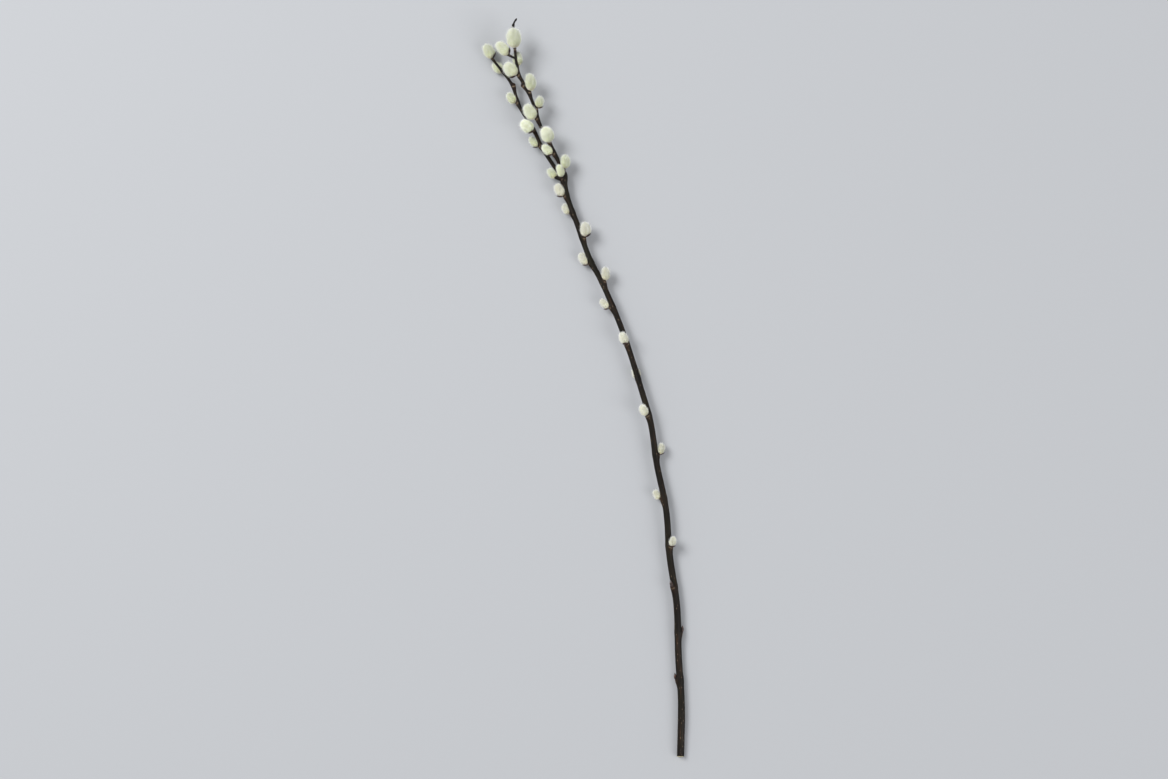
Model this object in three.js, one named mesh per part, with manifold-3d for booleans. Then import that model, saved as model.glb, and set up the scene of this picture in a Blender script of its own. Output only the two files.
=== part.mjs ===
// A cut, forked branch of pussy willow that lies on a surface: one woody stem, silky catkins on its
// bud cushions, the brown bud scales that stay at the feet of some, and closed buds low on the stem.
// Millimetres and degrees. The stem runs along +Y from its cut end to its tips, and +Z is up.
import * as THREE from 'three';
import { mergeVertices } from 'three/addons/utils/BufferGeometryUtils.js';
import Module from 'manifold-3d';

const wasm = await Module();
wasm.setup();

// ---- Driving dimensions --------------------------------------------------------------------------
const GAP = 0.3; // clearance between pieces that touch
const CUT_END_RADIUS = 4.2;
const FORK_RADIUS = 2.9;
const ARM_RADIUS = 2.5; // where an arm leaves the fork
const ARM_TIP_RADIUS = 1.35;
const DRIED_TIP_RADIUS = 0.45;
const CUT_SLANT = 18; // of the cut end, against a square cut
const KNUCKLE = [4.4, 10.5, 4.2]; // half sizes of the swelling at the fork
const STEM_SIDES = 10;
const RING_STEP = 13; // between rings where the stem is plain
const CUSHION_HEIGHT = 1.8; // a bud cushion stands this far off the stem
const CUSHION_BELOW = 6.5; // it rises over this length
const CUSHION_ABOVE = 1.8; // and drops over this one
const CATKIN_SIDES = 12;
const CATKIN_WIDEST = 0.4; // share of its length from its foot
const CATKIN_BEND = 0.09; // its tip curves back to the stem by this share of its length
const SCALE_THICKNESS = 0.5;
const SCALE_START = 0.04; // a bud scale covers its catkin between these shares of its length
const SCALE_REACH = 0.28;
const SCALE_HALF_WIDTH = 60; // degrees round the catkin
const BUD_LENGTH = 7.5;
const BUD_RADIUS = 1.9;
const LAY = { pitch: 0.62, roll: 0.59 }; // turns the branch so that it rests without rocking

// ---- Shoots --------------------------------------------------------------------------------------
// Each shoot is a route of points [x, y, z] from the fork at [0, 0, 0], with the radius at its two ends.
const SHOOTS = {
  trunk: {
    points: [
      [134, -666, 0],
      [135, -604, 1],
      [131.5, -548, 0.6],
      [129.5, -492, 2.6],
      [121.5, -436, 2.4],
      [117, -381, 4.4],
      [106.5, -330, 3.4],
      [99.5, -283, 5],
      [87.5, -240, 3.8],
      [66, -174, 3],
      [44, -122, 2],
      [30, -95, 1],
      [15, -54, 1],
      [3, -20, 0],
      [0, 0, 0],
    ],
    radii: [CUT_END_RADIUS, FORK_RADIUS],
  },
  left_arm: {
    points: [
      [0, -3, 0],
      [-14, 16, 0],
      [-27, 37, 1],
      [-34, 53, 1],
      [-49, 77, -1],
      [-54, 90, -2],
      [-61, 108, -3],
      [-83, 136, -4],
    ],
    radii: [ARM_RADIUS, ARM_TIP_RADIUS],
  },
  right_arm: {
    points: [
      [0, -3, 0],
      [-3, 10, 1],
      [-14, 33, 3],
      [-27, 58, 6],
      [-35, 82, 8],
      [-42, 98, 9],
      [-52, 118, 10],
      [-56, 145, 11],
      [-57, 160, 11],
    ],
    radii: [ARM_RADIUS, ARM_TIP_RADIUS],
  },
  dried_tip: {
    points: [
      [-57, 158, 11],
      [-58, 169, 12],
      [-57, 174, 13],
      [-54, 179, 12],
    ],
    radii: [0.9, DRIED_TIP_RADIUS],
  },
  fork_spur: {
    points: [
      [1, -4, 0],
      [-6, -2, 1],
      [-9.5, -1, 1],
    ],
    radii: [2.4, 1.7],
  },
  tip_spur: {
    points: [
      [-55, 134, 10.5],
      [-60, 136, 10],
      [-64, 138, 10],
    ],
    radii: [1.2, 1.1],
  },
};

// ---- What grows on the shoots --------------------------------------------------------------------
// along: distance from the fork, below it on the trunk, or from the start of a spur.
// turn: round the shoot from its upper side, 90 to the right of someone who looks to its tip.
// lean: of the axis, away from the shoot. size: [width, length]. bare: its bud scale has dropped.
const CATKINS = {
  left_arm: [
    { along: 163, turn: 90, lean: 20, size: [13, 18], terminal: true },
    { along: 144, turn: 190, lean: 25, size: [12, 16], bare: true },
    { along: 104, turn: 268, lean: 28, size: [11, 15], bare: true },
    { along: 67, turn: 325, lean: 48, size: [14, 17] },
    { along: 48, turn: 250, lean: 22, size: [10, 15] },
  ],
  right_arm: [
    { along: 161, turn: 0, lean: 14, size: [16, 22], bare: true },
    { along: 141, turn: 158, lean: 22, size: [12, 17], bare: true },
    { along: 131, turn: 280, lean: 34, size: [15, 18] },
    { along: 108, turn: 86, lean: 28, size: [13, 20], bare: true },
    { along: 88, turn: 95, lean: 42, size: [11, 14] },
    { along: 77, turn: 290, lean: 26, size: [14, 19], bare: true },
    { along: 47, turn: 15, lean: 34, size: [15, 18], bare: true },
    { along: 33, turn: 300, lean: 32, size: [11, 15] },
    { along: 12, turn: 72, lean: 26, size: [12, 16], bare: true },
  ],
  tip_spur: [{ along: 9.8, turn: 75, lean: 28, size: [13, 19], terminal: true }],
  fork_spur: [
    { along: 10.9, turn: 130, lean: 48, size: [11, 15], terminal: true },
    { along: 5.2, turn: 58, lean: 66, size: [10, 16], bare: true },
  ],
  trunk: [
    { along: -21, turn: 282, lean: 24, size: [12, 16] },
    { along: -42, turn: 232, lean: 24, size: [11, 14], bare: true },
    { along: -73, turn: 62, lean: 28, size: [13, 17] },
    { along: -103, turn: 238, lean: 24, size: [12, 16] },
    { along: -129, turn: 80, lean: 32, size: [11, 16], bare: true },
    { along: -159, turn: 264, lean: 32, size: [10, 14] },
    { along: -205, turn: 345, lean: 24, size: [11, 15] },
  ],
};

// Lower down they stand further apart and are smaller, each two fifths of a turn from the last.
const LOWER_CATKINS = 5;
for (let i = 0; i < LOWER_CATKINS; i++) {
  CATKINS.trunk.push({
    along: -(247 + 41 * i + 2 * i * i),
    turn: (180 + 144 * i) % 360,
    lean: 30,
    size: [11 - 0.4 * i, 14.5 - 0.5 * i],
    bare: i % 2 === 1,
  });
}
const CLOSED_BUDS = [];
for (let i = 0; i < 3; i++) {
  CLOSED_BUDS.push({ along: -(490 + 54 * i), turn: (324 + 144 * i) % 360, lean: 9 });
}

// Cushions whose bud has gone: a bare knob at each of these places.
const BARE_KNOBS = {
  left_arm: [{ along: 124, turn: 60 }],
  right_arm: [{ along: 118, turn: 262 }],
};

const radians = THREE.MathUtils.degToRad;
for (const [name, shoot] of Object.entries(SHOOTS)) {
  const points = shoot.points.map((point) => new THREE.Vector3(...point));
  shoot.curve = new THREE.CatmullRomCurve3(points, false, 'centripetal');
  shoot.length = shoot.curve.getLength();
  const buds = name === 'trunk' ? CLOSED_BUDS : [];
  shoot.growths = [...(CATKINS[name] ?? []), ...(BARE_KNOBS[name] ?? []), ...buds];
}

// Distance from a shoot's start; the trunk is measured back from the fork.
function station(shoot, along) {
  return along < 0 ? shoot.length + along : along;
}

// Centre, forward, up and right directions of a shoot at a distance from its start.
function frameAt(shoot, distance) {
  const share = THREE.MathUtils.clamp(distance / shoot.length, 0, 1);
  const forward = shoot.curve.getTangentAt(share);
  const right = new THREE.Vector3().crossVectors(forward, new THREE.Vector3(0, 0, 1)).normalize();
  const up = new THREE.Vector3().crossVectors(right, forward);
  return { centre: shoot.curve.getPointAt(share), forward, up, right };
}

function sideways(frame, turn) {
  const side = frame.up.clone().multiplyScalar(Math.cos(radians(turn)));
  return side.addScaledVector(frame.right, Math.sin(radians(turn)));
}

function plainRadius(shoot, distance) {
  return THREE.MathUtils.lerp(shoot.radii[0], shoot.radii[1], distance / shoot.length);
}

// A cushion rises slowly from below, drops quickly above, and covers about a third of the way round.
function cushionHeight(shoot, distance, turn) {
  let height = 0;
  for (const growth of shoot.growths) {
    const offset = distance - station(shoot, growth.along);
    const reach = offset < 0 ? CUSHION_BELOW : CUSHION_ABOVE;
    const facing = Math.max(0, Math.cos(radians(turn - growth.turn)));
    const size = growth.terminal ? 0.4 : 1;
    height += size * CUSHION_HEIGHT * Math.exp(-((offset / reach) ** 2)) * facing ** 2;
  }
  return height;
}

// Rings stand close together at the cushions and further apart between them.
function ringDistances(shoot) {
  const distances = [0, shoot.length];
  const plainRings = Math.max(2, Math.round(shoot.length / RING_STEP));
  for (const growth of shoot.growths) {
    for (const offset of [-CUSHION_BELOW, -CUSHION_BELOW / 2, 0, CUSHION_ABOVE]) {
      distances.push(station(shoot, growth.along) + offset);
    }
  }
  for (let i = 1; i < plainRings; i++) {
    distances.push((i * shoot.length) / plainRings);
  }
  const sorted = distances.filter((d) => d >= 0 && d <= shoot.length).sort((a, b) => a - b);
  return sorted.filter((d, i) => i === 0 || d === shoot.length || d - sorted[i - 1] > 1);
}

// A closed tube along a shoot, with its cushions, and swollen all over by `margin`.
function shootGeometry(name, margin) {
  const shoot = SHOOTS[name];
  const positions = [];
  const indices = [];
  const distances = ringDistances(shoot);
  for (const distance of distances) {
    const frame = frameAt(shoot, distance);
    const slant = name === 'trunk' && distance === 0 ? Math.tan(radians(CUT_SLANT)) : 0;
    for (let side = 0; side < STEM_SIDES; side++) {
      const turn = (360 * side) / STEM_SIDES;
      const radius = plainRadius(shoot, distance) + cushionHeight(shoot, distance, turn) + margin;
      const point = frame.centre.clone().addScaledVector(sideways(frame, turn), radius);
      point.addScaledVector(frame.forward, slant * radius * Math.cos(radians(turn)));
      positions.push(...point.toArray());
    }
  }
  const last = distances.length - 1;
  const startCentre = distances.length * STEM_SIDES;
  for (const end of [0, shoot.length]) {
    positions.push(...frameAt(shoot, end).centre.toArray());
  }
  for (let side = 0; side < STEM_SIDES; side++) {
    const next = (side + 1) % STEM_SIDES;
    for (let ring = 0; ring < last; ring++) {
      const near = ring * STEM_SIDES;
      const far = near + STEM_SIDES;
      indices.push(near + side, near + next, far + side, near + next, far + next, far + side);
    }
    indices.push(startCentre, next, side);
    indices.push(startCentre + 1, last * STEM_SIDES + side, last * STEM_SIDES + next);
  }
  return meshData(positions, indices);
}

function meshData(positions, indices) {
  const geometry = new THREE.BufferGeometry();
  geometry.setAttribute('position', new THREE.Float32BufferAttribute(positions, 3));
  geometry.setIndex(indices);
  return geometry;
}

// ---- Solids --------------------------------------------------------------------------------------
function solidOf(geometry) {
  const bare = geometry.clone();
  bare.deleteAttribute('normal');
  bare.deleteAttribute('uv');
  const merged = mergeVertices(bare, 1e-4);
  const corners = merged.index.array;
  const kept = [];
  for (let i = 0; i < corners.length; i += 3) {
    const [a, b, c] = corners.slice(i, i + 3);
    if (a !== b && b !== c && c !== a) {
      kept.push(a, b, c);
    }
  }
  const vertProperties = new Float32Array(merged.attributes.position.array);
  const triVerts = new Uint32Array(kept);
  return new wasm.Manifold(new wasm.Mesh({ numProp: 3, vertProperties, triVerts }));
}

function geometryOf(solid) {
  const { vertProperties, triVerts } = solid.getMesh();
  const geometry = meshData(Array.from(vertProperties), Array.from(triVerts));
  geometry.computeVertexNormals();
  return geometry;
}

function knuckleGeometry(margin) {
  const geometry = new THREE.SphereGeometry(1, 12, 8);
  geometry.scale(KNUCKLE[0] + margin, KNUCKLE[1] + margin, KNUCKLE[2] + margin);
  return geometry.translate(0, -3, 0);
}

// The whole woody stem as one solid, swollen by `margin`.
function stemGeometry(margin) {
  let solid = solidOf(knuckleGeometry(margin));
  for (const name of Object.keys(SHOOTS)) {
    solid = solid.add(solidOf(shootGeometry(name, margin)));
  }
  return geometryOf(solid);
}

const stemClearance = stemGeometry(GAP);

// `mesh` is cut clear of the stem, in the mesh's own place.
function clearOfStem(mesh) {
  mesh.updateMatrix();
  const around = stemClearance.clone().applyMatrix4(mesh.matrix.clone().invert());
  mesh.geometry = geometryOf(solidOf(mesh.geometry).subtract(solidOf(around)));
  return mesh;
}

// ---- Catkins, bud scales and closed buds ---------------------------------------------------------
// Each is modelled with its foot at the origin, its axis along +Y and its outer side facing +Z.

// Radius of an egg at a share of its length: half an ellipse below, and a slightly more pointed
// superellipse above.
function eggRadius(share, radius) {
  const below = share < CATKIN_WIDEST;
  const power = below ? 2.0 : 1.9;
  const span = below ? CATKIN_WIDEST : 1 - CATKIN_WIDEST;
  const away = Math.min(1, Math.abs(share - CATKIN_WIDEST) / span);
  return radius * (1 - away ** power) ** (1 / power);
}

// Shares of the length where the egg gets a ring: close together where it closes.
function eggShares(ringsBelow, ringsAbove) {
  const shares = [];
  for (let i = 0; i <= ringsBelow; i++) {
    shares.push(CATKIN_WIDEST * (1 - Math.cos((i * Math.PI) / (2 * ringsBelow))));
  }
  for (let i = 1; i <= ringsAbove; i++) {
    shares.push(CATKIN_WIDEST + (1 - CATKIN_WIDEST) * Math.sin((i * Math.PI) / (2 * ringsAbove)));
  }
  return shares;
}

function bendBack(geometry, length) {
  const position = geometry.attributes.position;
  for (let i = 0; i < position.count; i++) {
    const share = position.getY(i) / length;
    position.setZ(i, position.getZ(i) - CATKIN_BEND * length * share * share);
  }
  return geometry;
}

function eggGeometry([width, length], sides) {
  const profile = eggShares(3, 4).map((share, i, all) => {
    const closed = i === 0 || i === all.length - 1;
    return new THREE.Vector2(closed ? 0 : eggRadius(share, width / 2), share * length);
  });
  return bendBack(new THREE.LatheGeometry(profile, sides), length);
}

// A point just outside the egg: `out` is the distance along its normal.
function overEgg([width, length], share, angle, out) {
  const step = 0.01;
  const rise = 2 * step * length;
  const grow = eggRadius(share + step, width / 2) - eggRadius(Math.max(0, share - step), width / 2);
  const normal = new THREE.Vector2(rise, -grow).normalize();
  const ring = eggRadius(share, width / 2) + out * normal.x;
  const height = share * length + out * normal.y;
  return [ring * Math.sin(radians(angle)), height, ring * Math.cos(radians(angle))];
}

// A bud scale is a thin cap over the outer side of the foot, widest low down and pointed at its tip.
function scaleGeometry(size) {
  const across = 6;
  const upward = 4;
  const positions = [];
  const indices = [];
  for (const out of [GAP, GAP + SCALE_THICKNESS]) {
    for (let row = 0; row <= upward; row++) {
      const share = THREE.MathUtils.lerp(SCALE_START, SCALE_REACH, row / upward);
      const halfWidth = SCALE_HALF_WIDTH * Math.sqrt(1.04 - (row / upward) ** 2);
      for (let column = 0; column <= across; column++) {
        const angle = halfWidth * ((2 * column) / across - 1);
        positions.push(...overEgg(size, share, angle, out));
      }
    }
  }
  const columns = across + 1;
  const outer = columns * (upward + 1);
  const quad = (a, b, c, d) => indices.push(a, b, c, a, c, d);
  for (let row = 0; row < upward; row++) {
    for (let column = 0; column < across; column++) {
      const corner = row * columns + column;
      quad(outer + corner, outer + corner + 1, outer + corner + columns + 1, outer + corner + columns);
      quad(corner, corner + columns, corner + columns + 1, corner + 1);
    }
    const left = row * columns;
    const right = left + across;
    quad(left, outer + left, outer + left + columns, left + columns);
    quad(right, right + columns, outer + right + columns, outer + right);
  }
  for (let column = 0; column < across; column++) {
    const top = upward * columns + column;
    quad(column, column + 1, outer + column + 1, outer + column);
    quad(top, outer + top, outer + top + 1, top + 1);
  }
  return bendBack(meshData(positions, indices), size[1]);
}

// Puts a mesh on its cushion, its axis leaning away from the shoot.
function seat(mesh, shoot, growth) {
  const distance = station(shoot, growth.along);
  const frame = frameAt(shoot, distance);
  const side = sideways(frame, growth.turn);
  const lean = radians(growth.lean);
  const axis = frame.forward.clone().multiplyScalar(Math.cos(lean)).addScaledVector(side, Math.sin(lean));
  const outer = side.clone().multiplyScalar(Math.cos(lean));
  outer.addScaledVector(frame.forward, -Math.sin(lean));
  const across = new THREE.Vector3().crossVectors(axis, outer);
  mesh.quaternion.setFromRotationMatrix(new THREE.Matrix4().makeBasis(across, axis, outer));
  const offAxis = growth.terminal ? 0 : plainRadius(shoot, distance) + 0.7 * CUSHION_HEIGHT;
  mesh.position.copy(frame.centre).addScaledVector(side, offAxis);
  if (growth.terminal) {
    mesh.position.addScaledVector(frame.forward, GAP);
  }
  return clearOfStem(mesh);
}

// ---- Assembly ------------------------------------------------------------------------------------
const bark = new THREE.MeshStandardMaterial({ color: 0x2e2521, roughness: 0.6, metalness: 0 });
const silk = new THREE.MeshStandardMaterial({ color: 0xd5d9bd, roughness: 0.95, metalness: 0 });
const husk = new THREE.MeshStandardMaterial({ color: 0x4b2c20, roughness: 0.4, metalness: 0 });

const branch = new THREE.Group();

function addPiece(kind, number, geometry, material) {
  const mesh = new THREE.Mesh(geometry, material);
  mesh.name = number ? `${kind}_${String(number).padStart(2, '0')}` : kind;
  branch.add(mesh);
  return mesh;
}

addPiece('stem', 0, stemGeometry(0), bark);

let catkinNumber = 0;
for (const [name, catkins] of Object.entries(CATKINS)) {
  for (const catkin of catkins) {
    catkinNumber += 1;
    const egg = eggGeometry(catkin.size, CATKIN_SIDES);
    seat(addPiece('catkin', catkinNumber, egg, silk), SHOOTS[name], catkin);
    if (!catkin.bare) {
      seat(addPiece('bud_scale', catkinNumber, scaleGeometry(catkin.size), husk), SHOOTS[name], catkin);
    }
  }
}

CLOSED_BUDS.forEach((bud, i) => {
  const geometry = eggGeometry([2 * BUD_RADIUS, BUD_LENGTH], 8);
  seat(addPiece('closed_bud', i + 1, geometry, husk), SHOOTS.trunk, bud);
});

// The branch is turned to its resting pose, and moved so that the origin is the middle of the floor
// under it.
branch.rotation.set(radians(LAY.pitch), radians(LAY.roll), 0);
branch.updateMatrixWorld(true);
const bounds = new THREE.Box3().setFromObject(branch, true);
const centre = bounds.getCenter(new THREE.Vector3());
branch.position.set(-centre.x, -centre.y, -bounds.min.z);

export default branch;
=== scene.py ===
import math

import bpy
import numpy as np
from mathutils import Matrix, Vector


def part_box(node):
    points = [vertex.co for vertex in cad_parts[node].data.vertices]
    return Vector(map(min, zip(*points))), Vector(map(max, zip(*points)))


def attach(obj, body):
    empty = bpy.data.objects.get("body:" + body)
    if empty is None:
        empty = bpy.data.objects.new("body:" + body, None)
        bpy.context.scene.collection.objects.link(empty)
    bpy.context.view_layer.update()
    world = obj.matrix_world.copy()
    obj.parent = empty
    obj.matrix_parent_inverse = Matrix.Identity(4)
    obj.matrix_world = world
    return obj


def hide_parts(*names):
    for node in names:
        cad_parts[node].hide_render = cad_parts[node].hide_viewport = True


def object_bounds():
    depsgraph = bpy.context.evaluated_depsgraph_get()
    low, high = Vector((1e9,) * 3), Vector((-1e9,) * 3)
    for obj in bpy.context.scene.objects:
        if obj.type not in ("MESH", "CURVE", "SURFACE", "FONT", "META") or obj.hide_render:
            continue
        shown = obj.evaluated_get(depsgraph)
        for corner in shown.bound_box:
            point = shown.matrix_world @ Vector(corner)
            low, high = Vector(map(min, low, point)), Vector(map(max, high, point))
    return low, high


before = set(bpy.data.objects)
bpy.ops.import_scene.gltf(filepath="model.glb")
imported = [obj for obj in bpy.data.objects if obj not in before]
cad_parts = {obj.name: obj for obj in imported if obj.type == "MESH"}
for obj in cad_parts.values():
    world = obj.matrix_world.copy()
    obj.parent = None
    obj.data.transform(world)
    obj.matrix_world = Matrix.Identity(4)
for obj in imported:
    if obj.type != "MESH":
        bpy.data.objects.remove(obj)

cad_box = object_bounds()
MM = 0.001

# ---- The branch's own shape --------------------------------------------------------------------
# Each shoot is a route of points, with the fork at (0, 0, 0), and the radius at its two ends. The trunk
# comes up to the fork and the others start from it or from an arm.
SHOOTS = {
    "trunk": (
        [(134, -666, 0), (135, -604, 1), (131.5, -548, 0.6), (129.5, -492, 2.6), (121.5, -436, 2.4),
         (117, -381, 4.4), (106.5, -330, 3.4), (99.5, -283, 5), (87.5, -240, 3.8), (66, -174, 3),
         (44, -122, 2), (30, -95, 1), (15, -54, 1), (3, -20, 0), (0, 0, 0)],
        (4.2, 2.9),
    ),
    "left_arm": (
        [(0, -3, 0), (-14, 16, 0), (-27, 37, 1), (-34, 53, 1), (-49, 77, -1), (-54, 90, -2),
         (-61, 108, -3), (-83, 136, -4)],
        (2.5, 1.35),
    ),
    "right_arm": (
        [(0, -3, 0), (-3, 10, 1), (-14, 33, 3), (-27, 58, 6), (-35, 82, 8), (-42, 98, 9),
         (-52, 118, 10), (-56, 145, 11), (-57, 160, 11)],
        (2.5, 1.35),
    ),
    "dried_tip": ([(-57, 158, 11), (-58, 169, 12), (-57, 174, 13), (-54, 179, 12)], (1.45, 0.75)),
    "fork_spur": ([(1, -4, 0), (-6, -2, 1), (-9.5, -1, 1)], (2.4, 1.7)),
    "tip_spur": ([(-55, 134, 10.5), (-60, 136, 10), (-64, 138, 10)], (1.2, 1.1)),
}

# What grows on each shoot: (along, turn, lean, width, length, kind). Along is the distance from the
# shoot's start, or back from the fork where it is negative; turn goes round from the upper side, with
# 90 to the right of someone who looks to the tip; lean is the axis's angle to the shoot.
GROWTHS = {
    "left_arm": [
        (163, 90, 20, 13, 18, "terminal capped"), (144, 190, 25, 12, 16, "bare"),
        (104, 268, 28, 11, 15, "bare"), (67, 325, 48, 14, 17, "capped"), (48, 250, 22, 10, 15, "capped"),
    ],
    "right_arm": [
        (161, 0, 14, 16, 22, "bare"), (141, 158, 22, 12, 17, "bare"), (131, 280, 34, 15, 18, "capped"),
        (108, 86, 28, 13, 20, "bare"), (88, 95, 42, 11, 14, "capped"), (77, 290, 26, 14, 19, "bare"),
        (47, 15, 34, 15, 18, "bare"), (33, 300, 32, 11, 15, "capped"), (12, 72, 26, 12, 16, "bare"),
    ],
    "tip_spur": [(9.8, 75, 28, 13, 19, "terminal capped")],
    "fork_spur": [(10.9, 130, 48, 11, 15, "terminal capped"), (5.2, 58, 66, 10, 16, "bare")],
    "trunk": [
        (-21, 282, 24, 12, 16, "capped"), (-42, 232, 24, 11, 14, "bare"), (-73, 62, 28, 13, 17, "capped"),
        (-103, 238, 24, 12, 16, "capped"), (-129, 80, 32, 11, 16, "bare"), (-159, 264, 32, 10, 14, "capped"),
        (-205, 345, 24, 11, 15, "capped"),
    ],
}
for i in range(5):  # lower down: smaller, further apart, each two fifths of a turn from the last
    GROWTHS["trunk"].append((
        -(247 + 41 * i + 2 * i * i), (180 + 144 * i) % 360, 30, 11 - 0.4 * i, 14.5 - 0.5 * i,
        "bare" if i % 2 else "capped",
    ))
BUD_WIDTH, BUD_LENGTH = 3.8, 7.5
CLOSED_BUDS = [(-(490 + 54 * i), (324 + 144 * i) % 360, 9, BUD_WIDTH, BUD_LENGTH, "bud") for i in range(3)]
BARE_KNOBS = {"left_arm": [(124, 60)], "right_arm": [(118, 262)]}  # cushions whose catkin has dropped
TERMINAL_SIZE, KNOB_SIZE = 0.4, 1.35  # shares of the full height for these cushions

CUT_SLANT = 18
KNUCKLE = (4.4, 10.5, 4.2)  # half the swelling at the fork: across, along, high
KNUCKLE_MIDDLE = (0, -3, 0)
CUSHION_HEIGHT, CUSHION_BELOW, CUSHION_ABOVE = 1.8, 6.5, 1.8
CUSHION_SEAT = 0.7  # a catkin's foot is at this share of its cushion's height
SCAR_WIDE, SCAR_HIGH, SCAR_BAND, SCAR_DEPTH = 2.4, 2.0, 0.24, 0.22
TERMINAL_GAP = 0.3  # between the end of a shoot and the catkin that closes it
WIDEST = 0.4  # a catkin is widest at this share of its length
BEND = 0.09  # its tip curves back to the stem by this share of its length
LAY_PITCH, LAY_ROLL = 0.62, 0.59
FLOOR_CLEARANCE = 0.05

# ---- Finish: how fine each surface is worked ----------------------------------------------------
SHOOT_MESH = {  # sides round a shoot, and the step between rings
    "trunk": (48, 0.75), "left_arm": (36, 0.6), "right_arm": (36, 0.6), "fork_spur": (36, 0.25),
    "tip_spur": (28, 0.25), "dried_tip": (24, 0.4),
}
KNUCKLE_MESH, CORE_MESH, BUD_MESH = (56, 72), (30, 40), (40, 40)  # rings and sides
HOOD_ROWS, HOOD_COLUMNS = 22, 26
# The silk's two coats: hairs to a square millimetre of skin, their radius (coarser than real silk, which
# is a fiftieth of a millimetre thick), length, slant off the skin, where their rings stand along them,
# the share of them that stray off the rest and soften the outline, and the heights in the colour map of
# their root and tip. The long hairs start further up it, so they are silver for most of their length.
UNDERCOAT = dict(density=23, thick=0.062, length_mm=3.0, slant=24, rings=(0.0,), stray=0.0, span=(0.52, 0.89))
LONG_COAT = dict(density=5.4, thick=0.057, length_mm=4.2, slant=29, rings=(0.0, 0.5), stray=0.3,
                 span=(0.7, 0.985))
BRACT_AREA = 3.6  # square millimetres of skin to each bract, from which one tuft of the silk grows
TUFT_SPREAD = 0.68  # how far the roots of a tuft stand from their bract
FUR_DEPTH = 1.25  # how far the core's skin is under the catkin's outline
USUAL_WIDTH = 13  # of a catkin whose hairs have the lengths above
HAIR_ROOT_DEPTH = 0.1
CORE_CLEARANCE, HAIR_CLEARANCE, HOOD_CLEARANCE, BUD_CLEARANCE = 0.15, 0.12, 0.1, 0.05  # off the bark
MOST_PUSHED = 0.55  # a hair that lies deeper in a shoot than this is left out
STRIP = 0.012  # half the width of a hair's strip in the colour map
GOLDEN_ANGLE = math.pi * (3 - math.sqrt(5))


def unit(vectors):
    """Each vector divided by its length."""
    return vectors / np.maximum(np.linalg.norm(vectors, axis=-1, keepdims=True), 1e-12)


def smooth_step(x, low, high):
    """0 below low, 1 above high, and 3t^2 - 2t^3 between, where t runs from 0 to 1."""
    t = np.clip((x - low) / (high - low), 0, 1)
    return t * t * (3 - 2 * t)


class Shoot:
    """A route as a centripetal Catmull-Rom curve, tabled by distance along it."""

    def __init__(self, points, radii):
        """On each span a cubic in t from 0 to 1 whose end slopes are the non-uniform differences of the
        points, with the square roots of the chords as knot spacing; the end points are mirrored on."""
        p = np.array(points, float)
        p = np.vstack([2 * p[0] - p[1], p, 2 * p[-1] - p[-2]])
        knot = np.sqrt(np.linalg.norm(np.diff(p, axis=0), axis=1))[:, None]
        a, b, c, d = p[:-3], p[1:-2], p[2:-1], p[3:]
        before, here, after = knot[:-2], knot[1:-1], knot[2:]
        start = here * ((b - a) / before - (c - a) / (before + here) + (c - b) / here)
        end = here * ((c - b) / here - (d - b) / (here + after) + (d - c) / after)
        t = np.linspace(0, 1, 60, endpoint=False)[None, :, None]
        b, c, start, end = (x[:, None, :] for x in (b, c, start, end))
        curve = b + start * t + (3 * (c - b) - 2 * start - end) * t**2 + (2 * (b - c) + start + end) * t**3
        self.points = np.vstack([curve.reshape(-1, 3), p[-2]])
        steps = np.linalg.norm(np.diff(self.points, axis=0), axis=1)
        self.along = np.concatenate([[0], np.cumsum(steps)])
        self.length = self.along[-1]
        self.tangents = unit(np.gradient(self.points, self.along, axis=0))
        self.radii = radii

    def station(self, along):
        """Distance from the start; a negative one is measured back from the end."""
        return self.length + along if along < 0 else along

    def frame(self, distance):
        """Centre, forward, up and right at each distance: right is forward x Z, and up is right x forward."""
        distance = np.asarray(distance, float)
        columns = [np.interp(distance, self.along, self.points[:, k]) for k in range(3)]
        slopes = [np.interp(distance, self.along, self.tangents[:, k]) for k in range(3)]
        forward = unit(np.stack(slopes, -1))
        right = unit(np.cross(forward, (0.0, 0.0, 1.0)))
        return np.stack(columns, -1), forward, np.cross(right, forward), right

    def plain_radius(self, distance):
        """Falls evenly from the first radius to the second along the length."""
        return self.radii[0] + (self.radii[1] - self.radii[0]) * np.clip(distance / self.length, 0, 1)


shoots = {name: Shoot(*values) for name, values in SHOOTS.items()}


def nodes_of(name):
    """(distance, turn, share of the full height) of every bud cushion on a shoot."""
    shoot = shoots[name]
    found = []
    for along, turn, _, _, _, kind in GROWTHS.get(name, []):
        found.append((shoot.station(along), turn, TERMINAL_SIZE if "terminal" in kind else 1.0))
    found += [(shoot.station(along), turn, KNOB_SIZE) for along, turn in BARE_KNOBS.get(name, [])]
    if name == "trunk":
        found += [(shoot.station(bud[0]), bud[1], 1.0) for bud in CLOSED_BUDS]
    return found


def cushion(name, distance, turn):
    """Height of the bud cushions: each a Gaussian along the shoot, long below its bud and short above,
    times the squared cosine of the angle from it round the shoot, on its own half only."""
    height = np.zeros(np.broadcast(distance, turn).shape)
    for station, at, size in nodes_of(name):
        offset = distance - station
        reach = np.where(offset < 0, CUSHION_BELOW, CUSHION_ABOVE)
        facing = np.maximum(0, np.cos(np.radians(turn - at)))
        height += size * CUSHION_HEIGHT * np.exp(-((offset / reach) ** 2)) * facing**2
    return height


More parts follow.
